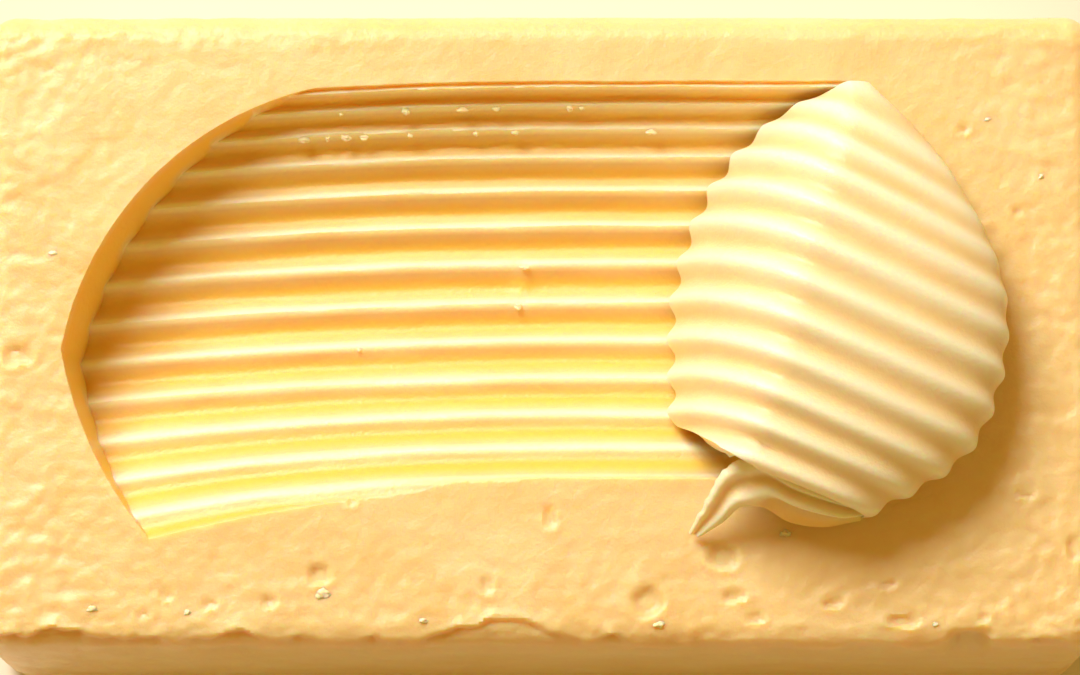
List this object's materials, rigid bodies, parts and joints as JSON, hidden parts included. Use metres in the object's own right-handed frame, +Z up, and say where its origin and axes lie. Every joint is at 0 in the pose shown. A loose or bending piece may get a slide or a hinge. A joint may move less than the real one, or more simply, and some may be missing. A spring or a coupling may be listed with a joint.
{
  "type": "block of butter",
  "caption": "Block of butter with a ridged trough scraped along its top and the ridged curl of butter lying at the trough's end.",
  "frame": {"origin": "centre of the block's underside", "axes": "+X along the block in the direction of the scrape, with the curl at the +X end; +Y to the back long side; +Z up"},
  "size_m": [0.117, 0.067, 0.0495],
  "materials": {
    "butter": "satin, soft and slightly translucent"
  },
  "bodies": {
    "root": {"block": "butter", "curl": "butter"}
  },
  "joints": []
}
